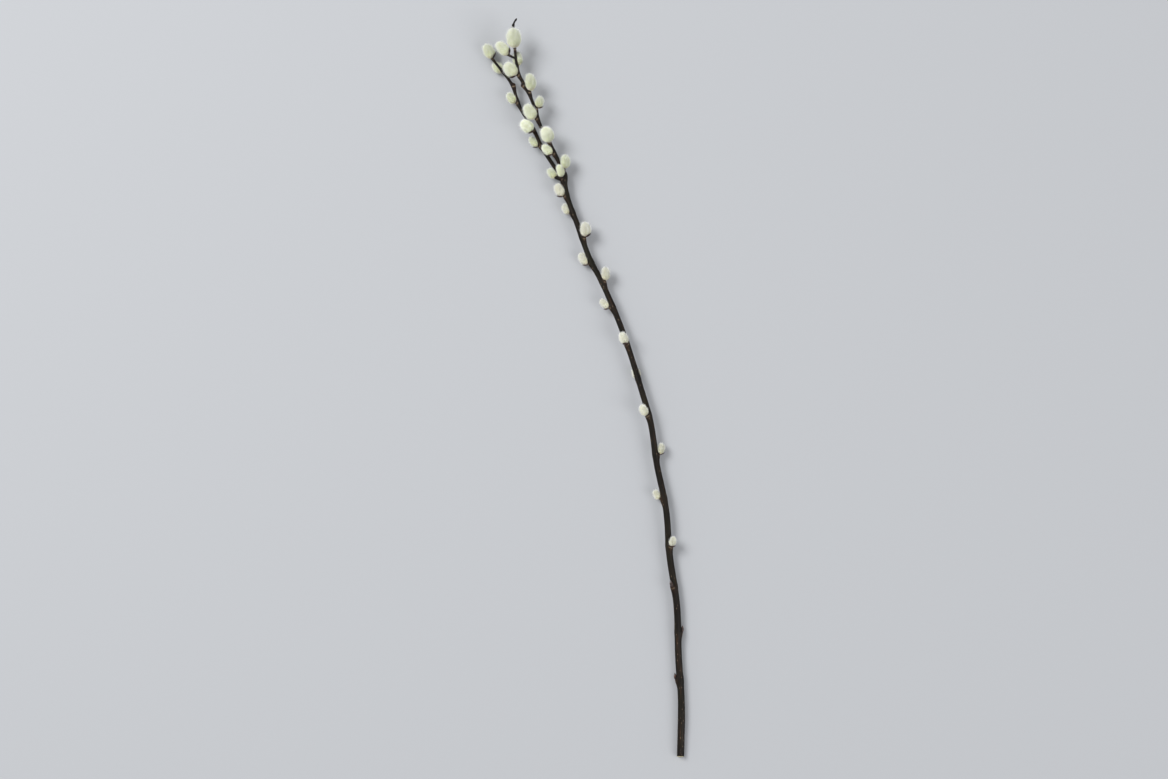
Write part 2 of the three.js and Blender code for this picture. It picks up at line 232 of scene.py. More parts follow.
def leaf_scar(name, distance, turn):
    """1 on the crescent leaf scar just below each bud and 0 away from it: a band round an ellipse that
    is centred on the cushion, kept on its lower half."""
    amount = np.zeros(np.broadcast(distance, turn).shape)
    radius = shoots[name].plain_radius(distance)
    for station, at, size in nodes_of(name):
        sideways = radius * np.radians((turn - at + 180) % 360 - 180)
        down = station - 0.4 - distance
        ring = np.hypot(sideways / SCAR_WIDE, down / SCAR_HIGH)
        band = np.exp(-(((ring - 1) / SCAR_BAND) ** 2)) * smooth_step(down, 0.2, 0.9) * size
        amount = np.maximum(amount, band)
    return amount


def wander(rng, x, wavelength, amplitude):
    """A slow random line: random heights one wavelength apart, joined by cosine steps."""
    cells = np.floor(x / wavelength).astype(int)
    heights = rng.normal(0, amplitude, cells.max() - cells.min() + 2)
    t = x / wavelength - cells
    ease = (1 - np.cos(np.pi * t)) / 2
    first = cells - cells.min()
    return heights[first] * (1 - ease) + heights[first + 1] * ease


def bark_relief(name, distance, turn, rng):
    """Small swellings along the shoot, a collar at each bud, shallow ridges that run along it and drift
    round it, and on a short spur the close rings that its old bud scales left."""
    shoot = shoots[name]
    swell = wander(rng, distance, 23.0, 0.05) + wander(rng, distance, 7.0, 0.025)
    for station, _, size in nodes_of(name):
        swell = swell + 0.28 * size * np.exp(-(((distance - station) / 4.5) ** 2))
    ridges = np.zeros(np.broadcast(distance, turn).shape)
    for count, amplitude in ((3, 0.05), (5, 0.04), (9, 0.022), (14, 0.014)):
        drift = wander(rng, distance, 35.0, 1.2)
        strength = 1 + wander(rng, distance, 11.0, 0.5)
        ridges = ridges + amplitude * strength * np.cos(count * np.radians(turn) + drift)
    if "spur" in name:
        uneven = 1.3 * np.sin(np.radians(turn) + 0.6 * distance) + wander(rng, distance, 1.7, 1.0)
        ridges = ridges + 0.08 * (1 + wander(rng, distance, 2.3, 0.4)) * np.cos(4.6 * distance + uneven)
    return (swell + ridges) * (shoot.plain_radius(distance) / 3.0)


def grid_faces(rings, sides):
    """Triangles of a closed strip of rings, two to a cell, with the outside to the right of each ring."""
    i, j = np.meshgrid(np.arange(rings - 1), np.arange(sides), indexing="ij")
    a = i * sides + j
    b = i * sides + (j + 1) % sides
    c, d = a + sides, b + sides
    return np.concatenate([np.stack([a, b, c], -1).reshape(-1, 3), np.stack([b, d, c], -1).reshape(-1, 3)])


def fan(ring, pole, sides, flip):
    """Triangles from a ring, given by its first vertex, to a pole."""
    j = np.arange(sides)
    k = (j + 1) % sides
    tris = np.stack([ring + j, ring + k, np.full(sides, pole)], -1)
    return tris[:, ::-1] if flip else tris


def closed_faces(rings, sides):
    """Triangles of a strip of rings whose first ring closes to the next to last vertex, and its last
    ring to the last one."""
    bottom, top = rings * sides, rings * sides + 1
    return np.vstack([
        grid_faces(rings, sides), fan(0, bottom, sides, True), fan((rings - 1) * sides, top, sides, False),
    ])


def shoot_surface(name, sides, step):
    """Rings carried along the route: the point at a distance and a turn stands off the centre line by
    the plain radius, the cushions, the leaf scars and the bark's relief. Both ends close in steps to a
    pole. Returns vertices, triangles and, for each triangle, 1 if it is on the cut end."""
    shoot = shoots[name]
    rng = np.random.default_rng(sum(map(ord, name)))
    distance = np.linspace(0, shoot.length, int(shoot.length / step) + 2)[:, None]
    turn = (360.0 * np.arange(sides) / sides)[None, :]
    radius = shoot.plain_radius(distance) + cushion(name, distance, turn)
    radius = radius + bark_relief(name, distance, turn, rng) - SCAR_DEPTH * leaf_scar(name, distance, turn)
    if name == "dried_tip":  # shrivelled, with a knob half way up it and a smaller one near its end
        radius = radius * (1 + 0.16 * np.sin(distance * 1.9)) + 0.35 * np.exp(-(((distance - 20) / 1.2) ** 2))
        radius = radius + 0.65 * np.exp(-(((distance - 13) / 2.6) ** 2))
    centre, forward, up, right = shoot.frame(distance[:, 0])
    cos, sin = np.cos(np.radians(turn))[..., None], np.sin(np.radians(turn))[..., None]
    side = up[:, None, :] * cos + right[:, None, :] * sin
    body = centre[:, None, :] + side * radius[..., None]
    cut = name == "trunk"
    slant = math.tan(math.radians(CUT_SLANT)) if cut else 0.0
    fade = np.exp(-distance / 0.01)[..., None] if cut else np.zeros(1)
    body = body + forward[:, None, :] * (slant * radius[..., None] * cos * fade)
    # The start closes inwards, by shares of the radius at depths along the shoot. On the cut end these
    # cross the bark's rim, the wood and the soft pith.
    if cut:
        steps = [(0.985, -0.12), (0.95, -0.17), (0.925, -0.1), (0.91, 0.02), (0.6, 0.0), (0.3, 0.02),
                 (0.22, 0.05), (0.19, 0.35), (0.1, 0.5)]
    else:
        steps = [(0.92, -0.1), (0.7, -0.25), (0.35, -0.35)]
    first = []
    for share, depth in steps:
        ring = centre[0] + side[0] * (share * radius[0])[:, None]
        ring = ring + forward[0] * (slant * share * radius[0][:, None] * cos[0] + depth)
        first.append(ring)
    last = []
    tip = radius[-1]
    for share, depth in ((0.93, 0.3), (0.75, 0.6), (0.45, 0.85)):
        last.append(centre[-1] + side[-1] * (share * tip)[:, None] + forward[-1] * depth * tip.mean() * 0.9)
    stack = np.concatenate([np.array(first[::-1]), body, np.array(last)])
    start_pole = centre[0] + forward[0] * (0.55 if cut else -0.4)
    end_pole = centre[-1] + forward[-1] * tip.mean() * 0.88
    count = len(stack)
    verts = np.vstack([stack.reshape(-1, 3), start_pole, end_pole])
    tris = closed_faces(count, sides)
    wood = np.zeros(len(tris), int)
    if cut:  # all but the two rings at the bark's rim
        on_cut = (tris < (len(steps) - 2) * sides) | (tris == count * sides)
        wood[on_cut.all(axis=1)] = 1
    return verts, tris, wood


def knuckle_surface():
    """The swelling at the fork: an ellipsoid with shallow lengthwise folds, and on its upper side the
    round scar of a lost shoot, a raised ring round a hollow."""
    rings, sides = KNUCKLE_MESH
    polar = np.linspace(0, np.pi, rings + 2)[1:-1][:, None]
    turn = (2 * np.pi * np.arange(sides) / sides)[None, :]
    out = np.sin(polar)
    direction = np.stack([out * np.sin(turn), -np.cos(polar) + 0 * turn, out * np.cos(turn)], -1)
    folds = 1 + 0.025 * np.cos(5 * turn + 2 * polar) + 0.02 * np.cos(8 * turn - 3 * polar)
    points = direction * np.array(KNUCKLE) * folds[..., None]
    away = np.hypot(points[..., 0] - 0.4, (points[..., 1] + 1.2) * 0.9)
    scar = 0.55 * np.exp(-(((away - 1.9) / 0.55) ** 2)) - 0.5 * np.exp(-((away / 1.2) ** 2))
    points[..., 2] += np.where(points[..., 2] > 0, scar, 0)
    poles = np.array([[0, -KNUCKLE[1], 0], [0, KNUCKLE[1], 0]])
    verts = np.vstack([points.reshape(-1, 3), poles]) + KNUCKLE_MIDDLE
    tris = closed_faces(rings, sides)
    return verts, tris, np.zeros(len(tris), int)


# ---- Making pieces ------------------------------------------------------------------------------
def turned(points):
    """The branch's lay: turned about X by the pitch after it is turned about Y by the roll."""
    p, r = math.radians(LAY_PITCH), math.radians(LAY_ROLL)
    about_x = np.array([[1, 0, 0], [0, math.cos(p), -math.sin(p)], [0, math.sin(p), math.cos(p)]])
    about_y = np.array([[math.cos(r), 0, math.sin(r)], [0, 1, 0], [-math.sin(r), 0, math.cos(r)]])
    return points @ (about_x @ about_y).T


def lay_shift():
    """Move that puts the turned shoots on the CAD stem: the difference of the boxes' middles."""
    low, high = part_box("stem")
    coarse_sides, coarse_step = 20, 4.0
    rough = turned(np.vstack([shoot_surface(name, coarse_sides, coarse_step)[0] for name in SHOOTS]))
    return (np.array(low) + np.array(high)) / 2 - (rough.min(0) + rough.max(0)) / 2 * MM


SHIFT = lay_shift()


def in_place(points):
    """Millimetres in the branch's own frame to metres in the row frame, never under the floor."""
    placed = turned(points) * MM + SHIFT
    placed[..., 2] = np.maximum(placed[..., 2], FLOOR_CLEARANCE * MM)
    return placed


def new_mesh(name, verts, tris, kinds=None, uvs=None):
    """A mesh of triangles, with a material number for each and a colour-map place for each corner."""
    mesh = bpy.data.meshes.new(name)
    mesh.vertices.add(len(verts))
    mesh.vertices.foreach_set("co", np.asarray(verts, np.float32).ravel())
    mesh.loops.add(3 * len(tris))
    mesh.loops.foreach_set("vertex_index", np.asarray(tris, np.int32).ravel())
    mesh.polygons.add(len(tris))
    mesh.polygons.foreach_set("loop_start", np.arange(0, 3 * len(tris), 3, dtype=np.int32))
    if kinds is not None:
        mesh.polygons.foreach_set("material_index", np.asarray(kinds, np.int32))
    if uvs is not None:
        layer = mesh.uv_layers.new(name="OFBake")
        layer.uv.foreach_set("vector", np.asarray(uvs, np.float32).ravel())
    mesh.update(calc_edges=True)
    mesh.polygons.foreach_set("use_smooth", np.ones(len(tris), bool))
    return mesh


def show(name, mesh, materials, node):
    """Links a piece that stands for a CAD node and rides on the branch's one body."""
    piece = bpy.data.objects.new(name, mesh)
    bpy.context.scene.collection.objects.link(piece)
    for material in materials:
        mesh.materials.append(material)
    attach(piece, "root")
    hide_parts(node)


# ---- Materials ----------------------------------------------------------------------------------
def linear(hex_colour):
    """An sRGB hex colour as linear red, green, blue and alpha."""
    channels = [int(hex_colour[i:i + 2], 16) / 255 for i in (1, 3, 5)]
    return [c / 12.92 if c <= 0.04045 else ((c + 0.055) / 1.055) ** 2.4 for c in channels] + [1.0]


def add(tree, kind, inputs=None, stops=None, **settings):
    """Adds a node: its settings, its colour stops, and for each input, given by name or by number, a
    value or the socket it is fed by."""
    made = tree.nodes.new("ShaderNode" + kind)
    for name, value in settings.items():
        setattr(made, name, value)
    if stops:
        elements = made.color_ramp.elements
        while len(elements) < len(stops):
            elements.new(1.0)
        for element, (place, colour) in zip(elements, stops):
            element.position = place
            element.color = linear(colour)
    for name, value in (inputs or {}).items():
        if isinstance(value, bpy.types.NodeSocket):
            tree.links.new(value, made.inputs[name])
        else:
            made.inputs[name].default_value = value
    return made


def new_material(name):
    """An empty node material and its Principled shader."""
    material = bpy.data.materials.new(name)
    material.use_nodes = True
    tree = material.node_tree
    return material, tree, tree.nodes["Principled BSDF"]


def willow_bark():
    """Smooth young willow bark: a thin satin skin, near-black brown with redder and olive stretches that
    run along the shoot, pale corky pores, and grey-brown leaf scars."""
    material, tree, shader = new_material("smooth willow bark")
    grain = add(tree, "Attribute", attribute_name="grain").outputs["Vector"]
    marks = add(tree, "SeparateXYZ", {0: add(tree, "Attribute", attribute_name="marks").outputs["Vector"]})

    def along(width_mm, length_mm):
        size = (1 / width_mm, 1 / width_mm, 1 / length_mm)
        return add(tree, "VectorMath", {0: grain, 1: size}, operation="MULTIPLY").outputs[0]

    streaks = add(tree, "TexNoise", {"Vector": along(2.4, 26), "Scale": 1.0, "Detail": 4.0})
    skin = add(tree, "ValToRGB", {0: streaks.outputs["Fac"]},
               [(0.3, "#090705"), (0.48, "#120e0a"), (0.62, "#1d160f"), (0.78, "#352216")])
    patches = add(tree, "TexNoise", {"Vector": along(9, 70), "Scale": 1.0, "Detail": 2.0})
    olive = add(tree, "ValToRGB", {0: patches.outputs["Fac"]}, [(0.46, "#000000"), (0.66, "#b0b0b0")])
    tinted = add(tree, "MixRGB", {0: olive.outputs[0], 1: skin.outputs[0], 2: linear("#1b1c0f")})
    bloom = add(tree, "TexNoise", {"Vector": along(5, 14), "Scale": 1.0, "Detail": 5.0})
    dusty = add(tree, "ValToRGB", {0: bloom.outputs["Fac"]}, [(0.52, "#000000"), (0.74, "#8a8a8a")])
    bloomed = add(tree, "MixRGB", {0: dusty.outputs[0], 1: tinted.outputs[0], 2: linear("#262221")})
    cells = add(tree, "TexVoronoi", {"Vector": along(2.6, 5.5), "Scale": 1.0})
    pores = add(tree, "ValToRGB", {0: cells.outputs["Distance"]}, [(0.09, "#ffffff"), (0.17, "#000000")])
    pored = add(tree, "MixRGB", {0: pores.outputs[0], 1: bloomed.outputs[0], 2: linear("#6a5947")})
    scarred = add(tree, "MixRGB", {0: marks.outputs["X"], 1: pored.outputs[0], 2: linear("#6b5d4d")})
    warm = add(tree, "MixRGB", {0: marks.outputs["Y"], 1: scarred.outputs[0], 2: linear("#2c1a11")})
    tree.links.new(warm.outputs[0], shader.inputs["Base Color"])
    fine = add(tree, "TexNoise", {"Vector": along(0.55, 4.5), "Scale": 1.0, "Detail": 3.0, "Roughness": 0.65})
    raised = add(tree, "Math", {0: fine.outputs["Fac"], 1: pores.outputs[0]}, operation="ADD")
    bump = add(tree, "Bump", {"Height": raised.outputs[0], "Strength": 0.6, "Distance": 0.3 * MM})
    tree.links.new(bump.outputs[0], shader.inputs["Normal"])
    gloss = add(tree, "MapRange", {0: bloom.outputs["Fac"], 1: 0.3, 2: 0.7, 3: 0.38, 4: 0.58})
    tree.links.new(gloss.outputs[0], shader.inputs["Roughness"])
    shader.inputs["Specular IOR Level"].default_value = 0.11
    return material


def cut_wood():
    """Freshly cut willow: pale cream wood with faint rings, drying to tan at the bark and round the pith."""
    material, tree, shader = new_material("fresh cut willow wood")
    grain = add(tree, "Attribute", attribute_name="grain").outputs["Vector"]
    flat = add(tree, "VectorMath", {0: grain, 1: (1.0, 1.0, 0.0)}, operation="MULTIPLY").outputs[0]
    out = add(tree, "VectorMath", {0: flat}, operation="LENGTH").outputs["Value"]
    rings = add(tree, "MapRange", {0: out, 1: 0.0, 2: 4.2})
    tone = add(tree, "ValToRGB", {0: rings.outputs[0]}, [
        (0.0, "#7a5a3a"), (0.2, "#8a6a45"), (0.25, "#d8c596"), (0.5, "#e6d8b0"), (0.55, "#d6c493"),
        (0.6, "#e6d9b4"), (0.84, "#d9caa0"), (0.9, "#8f9a58"), (0.95, "#4a3a28")])
    tree.links.new(tone.outputs[0], shader.inputs["Base Color"])
    fibres = add(tree, "TexNoise", {"Vector": grain, "Scale": 6.0, "Detail": 2.0})
    bump = add(tree, "Bump", {"Height": fibres.outputs["Fac"], "Strength": 0.4, "Distance": 0.08 * MM})
    tree.links.new(bump.outputs[0], shader.inputs["Normal"])
    shader.inputs["Roughness"].default_value = 0.75
    return material


def catkin_silk(name, core, root, middle, tip):
    """Catkin silk: dense soft hairs, clear silver at their tips over a yellow-green core. In the colour
    map the core is below 0.5 and the hairs above it, with their tips higher than their roots; across,
    the map runs round the core, and for the hairs up the catkin from its foot."""
    material, tree, shader = new_material(name)
    place = add(tree, "SeparateXYZ", {0: add(tree, "UVMap", uv_map="OFBake").outputs[0]})
    u, v = place.outputs["X"], place.outputs["Y"]
    strand = add(tree, "ValToRGB", {0: v}, [(0.5, root), (0.78, middle), (0.95, tip)])
    spread = add(tree, "Math", {0: u, 1: 90.0}, operation="MULTIPLY").outputs[0]
    strands = add(tree, "CombineXYZ", {0: spread, 1: v})
    mottle = add(tree, "TexNoise", {"Vector": strands.outputs[0], "Scale": 1.0, "Detail": 1.0})
    shade = add(tree, "MapRange", {0: mottle.outputs["Fac"], 1: 0.25, 2: 0.75, 3: 0.9, 4: 1.05})
    varied = add(tree, "VectorMath", {0: strand.outputs[0], "Scale": shade.outputs[0]}, operation="SCALE")
    foot = add(tree, "MapRange", {0: u, 1: 0.03, 2: 0.16, 3: 0.55, 4: 0.0})
    warmed = add(tree, "MixRGB", {0: foot.outputs[0], 1: varied.outputs[0], 2: linear("#c9a893")})
    # The core's bracts: thirteen cells round it and about twenty up it, darker in their middles.
    cells = add(tree, "VectorMath", {0: add(tree, "CombineXYZ", {0: u, 1: v}).outputs[0],
                                     1: (13.0, 44.0, 0.0)}, operation="MULTIPLY")
    bracts = add(tree, "TexVoronoi", {"Vector": cells.outputs[0], "Scale": 1.0})
    core_tone = add(tree, "ValToRGB", {0: bracts.outputs["Distance"]}, [(0.2, "#8d8c4c"), (0.6, core)])
    is_hair = add(tree, "Math", {0: v, 1: 0.5}, operation="GREATER_THAN")
    whole = add(tree, "MixRGB", {0: is_hair.outputs[0], 1: core_tone.outputs[0], 2: warmed.outputs[0]})
    tree.links.new(whole.outputs[0], shader.inputs["Base Color"])
    shader.inputs["Roughness"].default_value = 0.6
    shader.inputs["Specular IOR Level"].default_value = 0.3
    shader.inputs["Sheen Weight"].default_value = 0.8
    shader.inputs["Sheen Roughness"].default_value = 0.45
    shader.inputs["Sheen Tint"].default_value = linear("#f4f7f2")
    shader.inputs["Subsurface Weight"].default_value = 0.6
    shader.inputs["Subsurface Radius"].default_value = (1.0, 1.0, 0.7)
    shader.inputs["Subsurface Scale"].default_value = 1.5 * MM
    return material


def bud_scale_skin():
    """A willow bud scale: one thin, tough, lacquer-smooth cap, near black with chestnut where it is worn."""
    material, tree, shader = new_material("lacquered bud scale")
    where = add(tree, "TexCoord").outputs["Object"]
    lines = add(tree, "TexNoise", {"Vector": where, "Scale": 1 / (2.2 * MM), "Detail": 3.0})
    tone = add(tree, "ValToRGB", {0: lines.outputs["Fac"]},
               [(0.3, "#150e0c"), (0.52, "#2b1812"), (0.7, "#55301f")])
    tree.links.new(tone.outputs[0], shader.inputs["Base Color"])
    fine = add(tree, "TexNoise", {"Vector": where, "Scale": 1 / (0.5 * MM), "Detail": 2.0})
    bump = add(tree, "Bump", {"Height": fine.outputs["Fac"], "Strength": 0.2, "Distance": 0.05 * MM})
    tree.links.new(bump.outputs[0], shader.inputs["Normal"])
    shader.inputs["Roughness"].default_value = 0.34
    return material


# ---- The stem -----------------------------------------------------------------------------------
def nearest_of(points, others):
    """For each point the number of the nearest of the others, worked out some thousands at a time."""
    batch = 4000
    nearest = np.empty(len(points), int)
    for start in range(0, len(points), batch):
        part = points[start:start + batch]
        nearest[start:start + batch] = ((part[:, None, :] - others[None, :, :]) ** 2).sum(-1).argmin(1)
    return nearest


def bark_marks(points):
    """For each vertex, in the branch's own frame: its place in the straightened shoot that it is nearest
    to for its thickness (two across, one along), and its marks (leaf scar, cushion warmth, none)."""
    apart_mm, warmest = 37.0, 0.55  # between one shoot's grain and the next, and a cushion's tint
    best = np.full(len(points), np.inf)
    grain = np.zeros((len(points), 3))
    marks = np.zeros((len(points), 3))
    for number, (name, shoot) in enumerate(shoots.items()):
        distance = shoot.along[nearest_of(points, shoot.points)]
        centre, forward, up, right = shoot.frame(distance)
        offset = points - centre
        high, wide = (offset * up).sum(1), (offset * right).sum(1)
        ahead = (offset * forward).sum(1)
        closeness = np.linalg.norm(offset, axis=1) / shoot.plain_radius(distance)
        turn = np.degrees(np.arctan2(wide, high))
        scar = leaf_scar(name, distance, turn)
        warmth = cushion(name, distance, turn) / CUSHION_HEIGHT
        better = closeness < best
        best[better] = closeness[better]
        found = np.stack([wide, high, distance + ahead + apart_mm * number], -1)
        grain[better] = found[better]
        marks[better] = np.stack([scar, warmest * warmth * (1 - scar), np.zeros_like(scar)], -1)[better]
    return grain, marks


def joined(parts):
    """One closed mesh from several that overlap, in the branch's own frame. Each has two empty material
    places, so that the faces of the cut end keep their number through the union."""
    helpers = []
    for i, (verts, tris, kinds) in enumerate(parts):
        mesh = new_mesh(f"part_{i}", verts, tris, kinds)
        for _ in range(2):
            mesh.materials.append(None)
        helper = bpy.data.objects.new(f"part_{i}", mesh)
        bpy.context.scene.collection.objects.link(helper)
        helpers.append(helper)
    base = helpers[0]
    for other in helpers[1:]:
        union = base.modifiers.new("union", "BOOLEAN")
        union.operation = "UNION"
        union.solver = "MANIFOLD"
        union.object = other
    bpy.context.view_layer.update()
    evaluated = base.evaluated_get(bpy.context.evaluated_depsgraph_get())
    whole = bpy.data.meshes.new_from_object(evaluated)
    for helper in helpers:
        bpy.data.objects.remove(helper)
    return whole


def build_stem(bark, wood):
    """The woody branch: trunk, arms, spurs and dried tip joined at the knuckle."""
    parts = [shoot_surface(name, sides, step) for name, (sides, step) in SHOOT_MESH.items()]
    parts.insert(1, knuckle_surface())
    mesh = joined(parts)
    points = np.zeros(3 * len(mesh.vertices), np.float32)
    mesh.vertices.foreach_get("co", points)
    points = points.reshape(-1, 3).astype(float)
    grain, marks = bark_marks(points)
    for name, values in (("grain", grain), ("marks", marks)):
        layer = mesh.attributes.new(name, "FLOAT_VECTOR", "POINT")
        layer.data.foreach_set("vector", values.astype(np.float32).ravel())
    mesh.vertices.foreach_set("co", in_place(points).astype(np.float32).ravel())
    kinds = np.zeros(len(mesh.polygons), np.int32)
    mesh.polygons.foreach_get("material_index", kinds)
    mesh.materials.clear()  # this resets the faces' material numbers, so they are put back at the end
    mesh.update()
    mesh.polygons.foreach_set("use_smooth", np.ones(len(mesh.polygons), bool))
    show("woody_stem", mesh, [bark, wood], "stem")
    mesh.polygons.foreach_set("material_index", kinds)


# ---- Catkins ------------------------------------------------------------------------------------
def egg_radius(share, radius):
    """Radius of an egg at a share of its length: half an ellipse below its widest place, and above it a
    superellipse of power 1.9, which ends a little more pointed."""
    below = share < WIDEST
    power = np.where(below, 2.0, 1.9)
    span = np.where(below, WIDEST, 1 - WIDEST)
    away = np.clip(np.abs(share - WIDEST) / span, 0, 1)
    return radius * np.maximum(1 - away**power, 0) ** (1 / power)


def meridian(share, radius, length):
    """Radius, height, and the unit tangent (outwards, upwards) of the egg's outline at a share of its
    length, from the differences over a short step each way."""
    low, high = np.clip(share - 0.004, 0, 1), np.clip(share + 0.004, 0, 1)
    rise = (high - low) * length
    grow = egg_radius(high, radius) - egg_radius(low, radius)
    size = np.hypot(rise, grow)
    return egg_radius(share, radius), share * length, grow / size, rise / size


def seat(shoot, growth):
    """Where a growth stands: its foot on the cushion, and its across, axis and outer directions."""
    along, turn, lean, _, _, kind = growth
    distance = shoot.station(along)
    centre, forward, up, right = shoot.frame(distance)
    side = up * math.cos(math.radians(turn)) + right * math.sin(math.radians(turn))
    lean = math.radians(lean)
    axis = forward * math.cos(lean) + side * math.sin(lean)
    outer = side * math.cos(lean) - forward * math.sin(lean)
    if "terminal" in kind:
        foot = centre + forward * TERMINAL_GAP
    else:
        foot = centre + side * (shoot.plain_radius(distance) + CUSHION_SEAT * CUSHION_HEIGHT)
    return foot, np.cross(axis, outer), axis, outer


def seated(points, place, length):
    """Points in a growth's own frame (across, along its axis, outwards), bent back to the stem by the
    square of their height, and put on its cushion."""
    foot, across, axis, outer = place
    bent = points[..., 2] - BEND * length * (points[..., 1] / length) ** 2
    return foot + points[..., 0:1] * across + points[..., 1:2] * axis + bent[..., None] * outer


def clear_of_stem(points, middle, gap):
    """Points that would lie in a shoot are moved straight out of it, to just over its bark. Returns them
    and how far each was moved. Only the shoots near the piece's middle are looked at, short of their
    rounded ends."""
    near = 24
    centres, radii = [], []
    for shoot in shoots.values():
        trimmed = shoot.along < shoot.length - 1.2 * shoot.radii[1]
        close = (np.linalg.norm(shoot.points - middle, axis=1) < near) & trimmed
        centres.append(shoot.points[close])
        radii.append(shoot.plain_radius(shoot.along[close]))
    centres, radii = np.vstack(centres), np.concatenate(radii)
    flat = points.reshape(-1, 3)
    nearest = nearest_of(flat, centres)
    offset = flat - centres[nearest]
    distance = np.linalg.norm(offset, axis=1)
    push = np.maximum(0, radii[nearest] + gap - distance)
    moved = flat + offset / np.maximum(distance, 1e-6)[:, None] * push[:, None]
    return moved.reshape(points.shape), push.reshape(points.shape[:-1])


def egg_stations(rings, sides):
    """Shares of an egg's length, closer together towards its ends, and turns round it in radians."""
    share = (1 - np.cos(np.linspace(0, np.pi, rings + 2)[1:-1]))[:, None] / 2
    return share, (2 * np.pi * np.arange(sides) / sides)[None, :]


def egg_points(ring, height, turn, end, flatness=1.0):
    """Rings at their heights, flattened outwards by a factor, and a pole at the foot and at the end."""
    points = np.stack([ring * np.sin(turn), height + 0 * turn, flatness * ring * np.cos(turn)], -1)
    return np.vstack([points.reshape(-1, 3), [[0, 0, 0], [0, end, 0]]])


def core_size(width, length):
    """Radius and length of the core: less than the outline's by the fur's depth, and half as much again
    at the tip."""
    return width / 2 - FUR_DEPTH, length - 1.5 * FUR_DEPTH


def egg_core(width, length):
    """The catkin's body under its silk: rings of an egg with a shallow lozenge lattice of bracts, where
    eight spirals cross thirteen. Returns points, triangles and map places."""
    rings, sides = CORE_MESH
    radius, tall = core_size(width, length)
    share, turn = egg_stations(rings, sides)
    ring = egg_radius(share, radius)
    bracts = 0.12 * np.cos(8 * turn + 40 * share) * np.cos(13 * turn - 26 * share)
    ring = ring + bracts * np.sin(np.pi * share)
    verts = egg_points(ring, share * tall, turn, tall)
    tris = closed_faces(rings, sides)
    # In the map a face that crosses the seam goes on past 1, and a pole takes the middle of its face.
    turn_of = np.concatenate([np.tile(np.arange(sides) / sides, rings), [0, 0]])
    share_of = np.concatenate([np.repeat(share[:, 0], sides), [0, 1]])
    u = turn_of[tris]
    spread = u.max(1) - u.min(1) > 0.5
    u[spread] += (u[spread] < 0.5)
    at_pole = tris >= rings * sides
    rim = np.where(at_pole, np.nan, u)
    u = np.where(at_pole, np.nanmean(rim, axis=1, keepdims=True), u)
    v = 0.02 + 0.45 * share_of[tris]
    return verts, tris, np.stack([u, v], -1)


def spikes(root, first, last, reach, thick, normal, rings):
    """Closed three-sided spikes: the line of each leaves its root along `first` and ends along `last`, as
    root + reach * (t * first + t^2 / 2 * (last - first)); a triangle of points stands round it at each
    of the ring places, smaller further up, and the faces close to a point at its end."""
    across = unit(np.cross(first, normal))
    over = np.cross(across, first)
    count, corners = len(root), 3 * len(rings)
    points = np.empty((count, corners + 1, 3))
    for ring, t in enumerate(rings):
        line = root + reach[:, None] * (t * first + t * t / 2 * (last - first))
        size = (thick * (1 - 0.3 * t))[:, None]
        for k in range(3):
            a = 2 * np.pi * k / 3
            points[:, 3 * ring + k] = line + size * (math.cos(a) * across + math.sin(a) * over)
    points[:, corners] = root + reach[:, None] * (first + last) / 2
    faces = [(0, 2, 1)]
    for low in range(0, corners - 3, 3):
        for k in range(3):
            a, b = low + k, low + (k + 1) % 3
            faces += [(a, b, a + 3), (b, b + 3, a + 3)]
    faces += [(corners - 3 + k, corners - 3 + (k + 1) % 3, corners) for k in range(3)]
    return points, np.array(faces)


